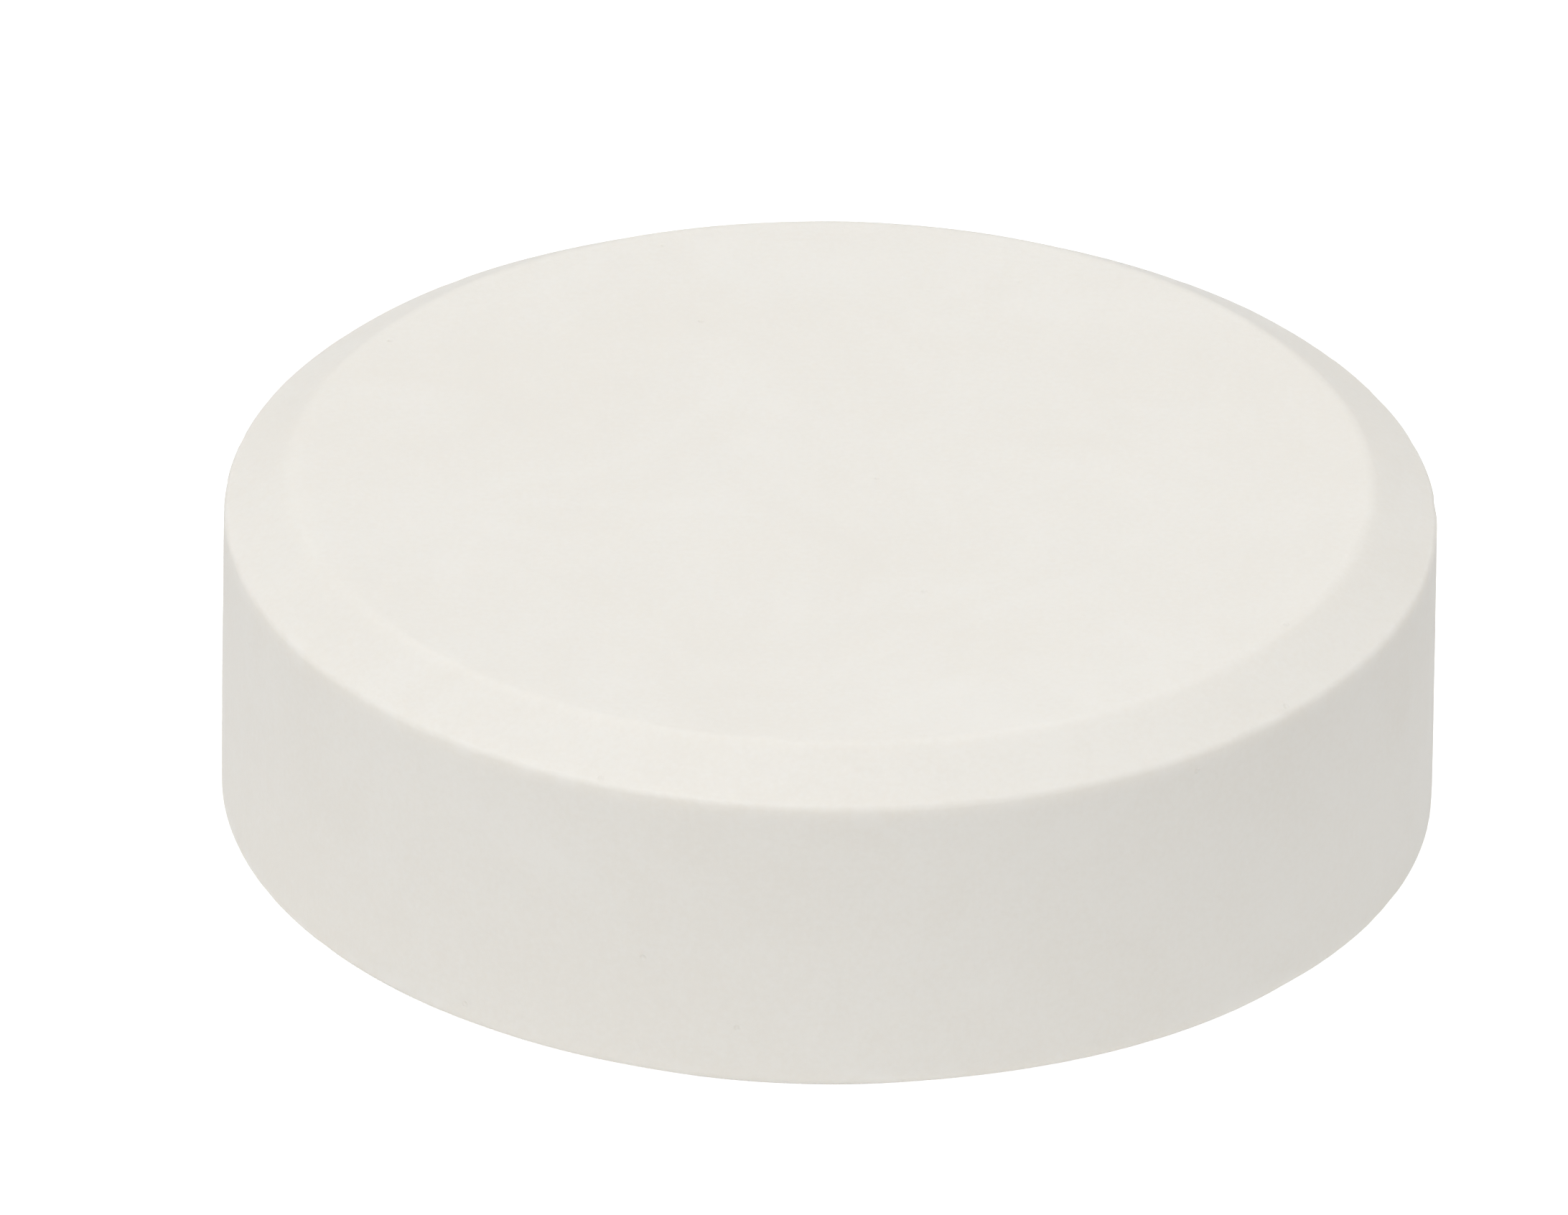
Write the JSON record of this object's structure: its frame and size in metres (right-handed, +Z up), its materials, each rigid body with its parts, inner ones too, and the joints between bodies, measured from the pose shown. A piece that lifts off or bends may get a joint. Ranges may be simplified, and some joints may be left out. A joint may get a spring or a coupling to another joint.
{
  "type": "shaving soap puck",
  "caption": "Round tablet of hard shaving soap with matching bevelled faces; drops into a shaving mug, bowl or dish to be lathered with a brush.",
  "frame": {"origin": "centre of the underside, where the puck rests", "axes": "+Z up along the puck's axis; the puck is round, so X and Y are alike"},
  "size_m": [0.07, 0.07, 0.0224],
  "materials": {
    "soap": "satin"
  },
  "bodies": {
    "root": {"soap_puck": "soap"}
  },
  "joints": []
}
